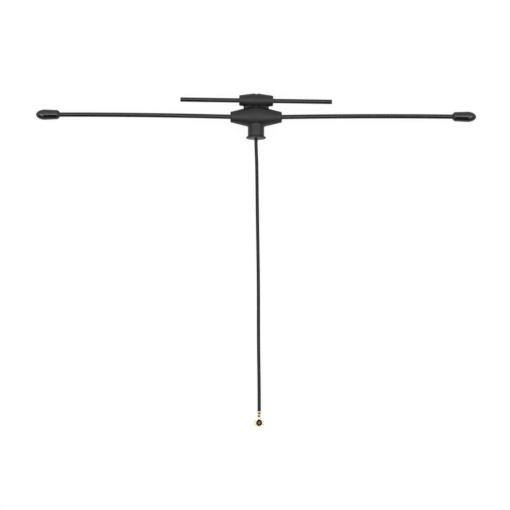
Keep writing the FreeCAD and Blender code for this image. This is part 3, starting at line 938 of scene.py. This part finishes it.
@dataclass
class CoaxPlug:
    """The gold plug, mouth up: ring, side tabs and crimps of one sheet round a slit contact."""

    centre: Point3 = (1.55, -103.375, 0.0)
    ring_radius: float = 1.35
    ring_wall: float = 0.35
    ring_height: float = 1.9
    lip_round: float = 0.1
    sheet: float = 0.2
    taper_reach: float = 1.35
    taper_tip: float = 0.525
    taper_height: float = 1.45
    mouth_reach: float = 1.1
    mouth_tip: float = 0.2
    tab_half: float = 0.75
    tab_height: float = 1.2
    tab_gap: float = 0.1
    tail_half: float = 0.5
    tail_length: float = 0.68
    crimp_length: float = 0.32
    crimp_gap: float = 0.68
    crimp_seam: float = 0.14
    strip_gap: float = 0.05
    slot_clearance: float = 0.04
    contact_radius: float = 0.5
    contact_bore: float = 0.23
    contact_height: float = 1.0
    contact_lip: float = 0.35
    contact_taper: float = 0.3
    contact_shoulder_round: float = 0.05
    contact_lip_round: float = 0.03
    contact_slit: float = 0.3
    contact_slit_depth: float = 0.6
    contact_tail: float = 0.25
    contact_tail_sheet: float = 0.15
    layer_radii: Tuple[float, float, float, float] = (CABLE_RADIUS, 0.46, 0.34, 0.12)
    voxel: float = 0.035
    skin_passes: int = 3
    contact_voxel: float = 0.025
    contact_passes: int = 2

    def axis_height(self) -> float:
        """Height of the cable's axis in the crimps."""
        return self.layer_radii[0] + self.sheet

    def taper_end(self) -> float:
        """Where the drawn-in end of the ring stops, along the cable."""
        return self.taper_reach + self.taper_tip

    def braid_crimp_start(self) -> float:
        """Where the crimp on the braid starts."""
        return self.taper_end() + self.tail_length

    def jacket_crimp_start(self) -> float:
        """Where the crimp on the jacket starts."""
        return self.braid_crimp_start() + self.crimp_length + self.crimp_gap

    def back(self) -> float:
        """Where the plug ends, along the cable."""
        return self.jacket_crimp_start() + self.crimp_length

    def tear(self, radius: float, tip: float, reach: float) -> List[Point2]:
        """Outline of a round drawn in by two tangents to a small round tip.

        Args:
            radius: Radius of the round.
            tip: Radius of the tip.
            reach: Distance between their centres.

        Returns:
            The closed outline.
        """
        lean = math.asin((radius - tip) / reach)
        nose = arc((0, reach), tip, lean, math.pi - lean, steps=16)
        return nose + arc((0, 0), radius, math.pi - lean, 2 * math.pi + lean, steps=64)

    def along_cable(self) -> Matrix:
        """From the X axis to the cable's axis in the crimps."""
        return Matrix.Translation((0, 0, self.axis_height())) @ ALONG_Y

    def add_crimp(self, shell: Piece, start: float, bore: float) -> None:
        """Add a barrel with its seam on top.

        Args:
            shell: The plug's sheet.
            start: Where the barrel starts, along the cable.
            bore: Radius of what it grips.
        """
        end = start + self.crimp_length
        outer = bore + self.sheet
        wall = [(start, bore), (start, outer), (end, outer), (end, bore)]
        barrel = new_object("barrel", turned(wall, closed=True), self.along_cable())
        half = self.crimp_seam / 2
        axis = self.axis_height()
        seam = block((-half, start - half, axis), (half, end + half, axis + 2 * outer))
        combine(barrel, seam, Join.CUT)
        surface = bmesh.new()
        surface.from_mesh(barrel.data)
        bpy.data.objects.remove(barrel)
        combine(shell, surface, Join.ADD)

    def build_shell(self) -> Piece:
        """Join ring, tail, tabs and crimps, open the mouth and the cable's passage and ease the bends."""
        inner = self.ring_radius - self.ring_wall
        outline = self.tear(self.ring_radius, self.taper_tip, self.taper_reach)
        shell = new_object("plug_sheet", prism(outline, 0, self.taper_height))
        ring = rounded(
            (0, 0, 0),
            (0, self.ring_radius, 0),
            (self.ring_height, self.ring_radius, self.lip_round),
            (self.ring_height, inner, self.lip_round),
            (self.sheet, inner, 0),
            (self.sheet, 0, 0),
        )
        combine(shell, turned(ring), Join.ADD, ALONG_Z)
        edge = self.ring_radius + self.tab_gap
        for side in Side:
            near, far = sorted((side.value * edge, side.value * (edge + self.sheet)))
            tab = block((near, -self.tab_half, 0), (far, self.tab_half, self.tab_height))
            combine(shell, tab, Join.ADD)
        far = edge + self.sheet
        combine(shell, block((-far, -self.tab_half, 0), (far, self.tab_half, self.sheet)), Join.ADD)
        tail = block((-self.tail_half, 0, 0), (self.tail_half, self.back(), self.sheet))
        combine(shell, tail, Join.ADD)
        self.add_crimp(shell, self.braid_crimp_start(), self.layer_radii[1])
        self.add_crimp(shell, self.jacket_crimp_start(), self.layer_radii[0])
        mouth = self.tear(inner, self.mouth_tip, self.mouth_reach)
        combine(shell, prism(mouth, self.sheet, 2 * self.ring_height), Join.CUT)
        slot = self.layer_radii[2] + self.slot_clearance
        combine(shell, bar(0, self.taper_end(), slot), Join.CUT, self.along_cable())
        grip = bar(self.jacket_crimp_start(), self.back(), self.layer_radii[0])
        combine(shell, grip, Join.CUT, self.along_cable())
        melt(shell, self.voxel, self.skin_passes)
        shell.data.transform(Matrix.Translation(self.centre))
        return shell

    def build_contact(self) -> Piece:
        """Turn the contact's open ring, slit it and add the tail under the cable's conductor."""
        low = self.axis_height() - self.layer_radii[3] - self.contact_tail_sheet
        tail_top = low + self.contact_tail_sheet
        top = tail_top + self.contact_height
        wall = rounded(
            (low, self.contact_bore, 0),
            (low, self.contact_radius, 0),
            (top - self.contact_taper, self.contact_radius, self.contact_shoulder_round),
            (top, self.contact_lip, self.contact_lip_round),
            (top, self.contact_bore, self.contact_lip_round),
        )
        contact = new_object("plug_pin_ring", turned(wall, sides=48, closed=True), ALONG_Z)
        tail_end = self.ring_radius - self.ring_wall - self.strip_gap
        tail_start = (self.contact_bore + self.contact_radius) / 2
        tail = block((-self.contact_tail, tail_start, low), (self.contact_tail, tail_end, tail_top))
        combine(contact, tail, Join.ADD)
        half = self.contact_slit / 2
        slit_end = 2 * self.contact_radius
        slit = block((-half, 0, top - self.contact_slit_depth), (half, slit_end, top + slit_end))
        combine(contact, slit, Join.CUT)
        melt(contact, self.contact_voxel, self.contact_passes)
        contact.data.transform(Matrix.Translation(self.centre))
        return contact

    def build_layers(self) -> Dict[str, Piece]:
        """Turn the four layers of the cable's stripped end.

        Returns:
            Each layer by its name.
        """
        ends = {
            "jacket": self.jacket_crimp_start() - self.strip_gap,
            "braid": self.taper_end() + self.strip_gap,
            "dielectric": self.mouth_reach + self.mouth_tip + self.strip_gap,
            "conductor": self.contact_radius,
        }
        bores = self.layer_radii[1:] + (0.0,)
        place = Matrix.Translation(self.centre) @ self.along_cable()
        layers = {}
        for (name, end), outer, bore in zip(ends.items(), self.layer_radii, bores):
            wall = [(end, bore), (end, outer), (self.back(), outer), (self.back(), bore)]
            layers[name] = new_object(f"plug_cable_{name}", turned(wall, sides=40, closed=bore > 0), place)
        return layers

    def dress(self) -> List[Piece]:
        """Build the plug's pieces and settle them.

        Returns:
            Every piece that goes with the cable's end.
        """
        pieces = [
            settle(self.build_shell(), GOLD_PLATE, ["plug_shell"], sharp=60.0),
            # the contact's grey-brown finish is painted shade
            settle(self.build_contact(), SHADED_CONTACT_GOLD, ["plug_contact"], sharp=60.0),
        ]
        for name, layer in self.build_layers().items():
            finish, slot = CABLE_LAYERS[name]
            pieces.append(settle(layer, finish, [f"coax_plug_{name}"]))
        return pieces + [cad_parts["plug_insulator"]]


@dataclass
class CoaxCable:
    """The thin coaxial cable from the flange to the plug."""

    diameter: float = 2 * CABLE_RADIUS
    length: float = 92.3
    route: Tuple[Point3, ...] = (
        (0.0, -7.4, 3.7),
        (0.0, -9.4, 3.7),
        (0.3, -15.4, 3.5),
        (0.48, -25.4, 1.7),
        (0.7, -37.4, 0.615),
        (1.1, -56.4, 0.585),
        (1.18, -75.4, 0.585),
        (1.55, -93.4, 0.765),
        (1.55, -99.5, 0.765),
    )

    def build(self) -> Piece:
        """Lay the cable along its route as one smooth curve.

        Returns:
            The cable.
        """
        curve = bpy.data.curves.new("cable_jacket", "CURVE")
        curve.dimensions = "3D"
        curve.resolution_u = 24
        curve.bevel_depth = self.diameter / 2 * MM
        curve.bevel_resolution = 6
        curve.use_fill_caps = True
        spline = curve.splines.new("NURBS")
        spline.points.add(len(self.route) - 1)
        for point, place in zip(spline.points, self.route):
            point.co = (place[0] * MM, place[1] * MM, place[2] * MM, 1.0)
        spline.order_u = 3
        spline.use_endpoint_u = True
        cable = bpy.data.objects.new("cable_jacket", curve)
        bpy.context.scene.collection.objects.link(cable)
        return cable

    def dress(self, plug_pieces: Sequence[Piece]) -> None:
        """Args:
            plug_pieces: Pieces of the plug; not used.
        """
        cable = self.build()
        cable.data.materials.append(EXTRUDED_JACKET.material())
        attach(cable, ROOT)
        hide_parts("coax_cable")
        LOG.info("%s: %.1f mm of %s", cable.name, self.length, EXTRUDED_JACKET.name)


@dataclass
class InnerWorks:
    """The pieces that keep their CAD shape: wires, feed board, joints and the cable's end in the neck."""

    looks: Dict[str, Finish] = field(
        default_factory=lambda: {
            "dipole_wire_left": SPRING_STEEL,
            "dipole_wire_right": SPRING_STEEL,
            "short_element_wire": SPRING_STEEL,
            "feed_board": GLASS_EPOXY,
            "feed_earth_copper": COPPER_FOIL,
            "feed_signal_copper": COPPER_FOIL,
            "solder_joints": TIN_SOLDER,
            "plug_insulator": MATT_POLYMER,
            **{f"coax_feed_{name}": finish for name, (finish, _) in CABLE_LAYERS.items()},
        }
    )

    def dress(self) -> None:
        """Give each piece its finish."""
        for name, finish in self.looks.items():
            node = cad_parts[name]
            node.data.materials.clear()
            node.data.materials.append(finish.material())
            LOG.info("%s: CAD shape in %s", name, finish.name)


@dataclass(frozen=True)
class SoftBox:
    """An oblong diffuser with a lamp behind it, out of the camera's sight.

    Attributes:
        name: Name of the light.
        place: Its middle, in millimetres.
        aim: The point that it faces.
        size: Its width and depth, in millimetres.
        power: Its power in watts.
    """

    name: str
    place: Point3
    aim: Point3
    size: Point2
    power: float

    def build(self) -> None:
        """Hang the light."""
        light = bpy.data.lights.new(self.name, "AREA")
        light.shape = "RECTANGLE"
        light.size = self.size[0] * MM
        light.size_y = self.size[1] * MM
        light.energy = self.power
        lamp = bpy.data.objects.new(self.name, light)
        lamp.location = Vector(self.place) * MM
        lamp.visible_camera = False
        lamp.rotation_mode = "QUATERNION"
        lamp.rotation_quaternion = (Vector(self.aim) - Vector(self.place)).to_track_quat("-Z", "Y")
        bpy.context.scene.collection.objects.link(lamp)
        LOG.info("%s: %.1f W", self.name, self.power)


@dataclass(frozen=True)
class Card:
    """A matt board, out of the camera's sight, that darkens what the object mirrors.

    Attributes:
        name: Name of the board.
        low: Its lowest corner, in millimetres.
        high: Its highest corner.
        grey: sRGB hex colour of its paint.
    """

    name: str
    low: Point3
    high: Point3
    grey: str

    def build(self) -> None:
        """Hang the board."""
        board = new_object(self.name, block(self.low, self.high))
        board.data.transform(Matrix.Scale(MM, 4))
        paint = empty_material(f"{self.name}_paint")
        tree = paint.node_tree
        matt = add_node(tree, "ShaderNodeBsdfDiffuse", {"Color": hex_to_linear(self.grey)})
        add_node(tree, "ShaderNodeOutputMaterial", None, {"Surface": matt.outputs[0]})
        board.data.materials.append(paint)
        board.visible_camera = False


@dataclass
class Studio:
    """White table, soft boxes and cards over it, and the camera almost straight above."""

    floor_half: float = 3000.0
    floor_drop: float = 0.01
    floor_thickness: float = 30.0
    floor_white: str = "#F4F4F4"
    floor_glow: float = 0.92
    world_level: float = 0.3
    camera_aim: Point3 = (-0.127, -46.65, 0.0)
    camera_distance: float = 600.0
    camera_tilt: float = 4.79
    camera_roll: float = 0.3
    clip_start: float = 6.0
    view_width: float = 173.1
    sensor: float = 36.0
    boxes: Tuple[SoftBox, ...] = (
        SoftBox("bright_strip", (0, -75, 900), aim=(0, 0, 0), size=(3000, 90), power=6.8),
        SoftBox("soft_strip", (0, 310, 900), aim=(0, 0, 0), size=(3000, 600), power=5.6),
        SoftBox("front_box", (0, -375, 690), aim=(0, -375, 0), size=(200, 490), power=0.88),
        SoftBox("front_box_left", (-600, -375, 690), aim=(-600, -375, 0), size=(550, 490), power=2.5),
        SoftBox("front_box_right", (600, -375, 690), aim=(600, -375, 0), size=(550, 490), power=2.5),
    )
    cards: Tuple[Card, ...] = (
        Card("front_card", low=(-1500, -705, 0), high=(1500, -700, 700), grey="#8C8C8C"),
        Card("over_card", low=(-1500, -700, 700), high=(1500, -110, 705), grey="#8C8C8C"),
        Card("camera_body", low=(-75, -152, 640), high=(75, -42, 645), grey="#303030"),
    )

    def seen_white(self, tree: Tree) -> Socket:
        """Add the nodes that tell the rays that show the background: seen, mirrored or through glass.

        Args:
            tree: Tree of the floor or the world.

        Returns:
            1 for such a ray and 0 for one that lights a surface.
        """
        ray = add_node(tree, "ShaderNodeLightPath").outputs
        seen = ray["Is Camera Ray"]
        for kind in ("Is Glossy Ray", "Is Transmission Ray"):
            either = add_node(tree, "ShaderNodeMath", {"operation": "MAXIMUM"}, {0: seen, 1: ray[kind]})
            seen = either.outputs[0]
        return seen

    def build_floor(self) -> None:
        """Lay the white table: it shows almost white and keeps a faint shadow."""
        half = self.floor_half
        slab = block((-half, -half, -self.floor_thickness), (half, half, -self.floor_drop))
        floor = new_object("table", slab)
        floor.data.transform(Matrix.Scale(MM, 4))
        paper = empty_material("white_table_paper")
        tree = paper.node_tree
        seen = self.seen_white(tree)
        share = add_node(tree, "ShaderNodeMath", {"operation": "MULTIPLY", 1: self.floor_glow}, {0: seen})
        matt = add_node(tree, "ShaderNodeBsdfDiffuse", {"Color": hex_to_linear(self.floor_white)})
        glow = add_node(tree, "ShaderNodeEmission", {"Strength": 1.0})
        layers = {i: layer.outputs[0] for i, layer in enumerate((share, matt, glow))}
        mix = add_node(tree, "ShaderNodeMixShader", None, layers)
        add_node(tree, "ShaderNodeOutputMaterial", None, {"Surface": mix.outputs[0]})
        floor.data.materials.append(paper)
        LOG.info("table: %d mm wide", 2 * half)

    def build_world(self) -> None:
        """Light the room evenly and dimly; it shows white as a background."""
        world = bpy.data.worlds.new("studio_room")
        world.use_nodes = True
        tree = world.node_tree
        tree.nodes.clear()
        levels = {"To Min": self.world_level, "To Max": 1.0}
        level = add_node(tree, "ShaderNodeMapRange", levels, {"Value": self.seen_white(tree)})
        white = {"Color": (1.0, 1.0, 1.0, 1.0)}
        room = add_node(tree, "ShaderNodeBackground", white, {"Strength": level.outputs["Result"]})
        add_node(tree, "ShaderNodeOutputWorld", None, {"Surface": room.outputs["Background"]})
        bpy.context.scene.world = world

    def build_camera(self) -> None:
        """Stand the camera over the antenna, tilted a little towards the plug's end."""
        tilt = math.radians(self.camera_tilt)
        roll = math.radians(self.camera_roll)
        back = Vector((0, -math.sin(tilt), math.cos(tilt)))
        level_up = Vector((0, math.cos(tilt), math.sin(tilt)))
        right = Vector((1, 0, 0)) * math.cos(roll) + level_up * math.sin(roll)
        up = back.cross(right)
        data = bpy.data.cameras.new("camera")
        data.sensor_width = self.sensor
        data.lens = self.sensor * self.camera_distance / self.view_width
        data.clip_start = self.clip_start * MM
        camera = bpy.data.objects.new("camera", data)
        turn = Matrix((right, up, back)).transposed().to_4x4()
        place = (Vector(self.camera_aim) + back * self.camera_distance) * MM
        camera.matrix_world = Matrix.Translation(place) @ turn
        bpy.context.scene.collection.objects.link(camera)
        bpy.context.scene.camera = camera

    def build(self) -> None:
        """Set the whole stage."""
        bpy.context.scene.view_settings.view_transform = "Standard"
        self.build_camera()
        self.build_floor()
        self.build_world()
        for piece in self.boxes + self.cards:
            piece.build()


def main() -> None:
    """Build and dress the antenna piece by piece, then set the stage."""
    logging.basicConfig(level=logging.INFO, format="%(message)s")
    Studio().build()
    CoaxCable().dress(CoaxPlug().dress())
    line = ArmLine()
    FeedHousing().dress(line)
    for side in Side:
        DipoleArm(side, line).dress()
    ShortElement().dress()
    InnerWorks().dress()


if __name__ == "__main__":
    main()
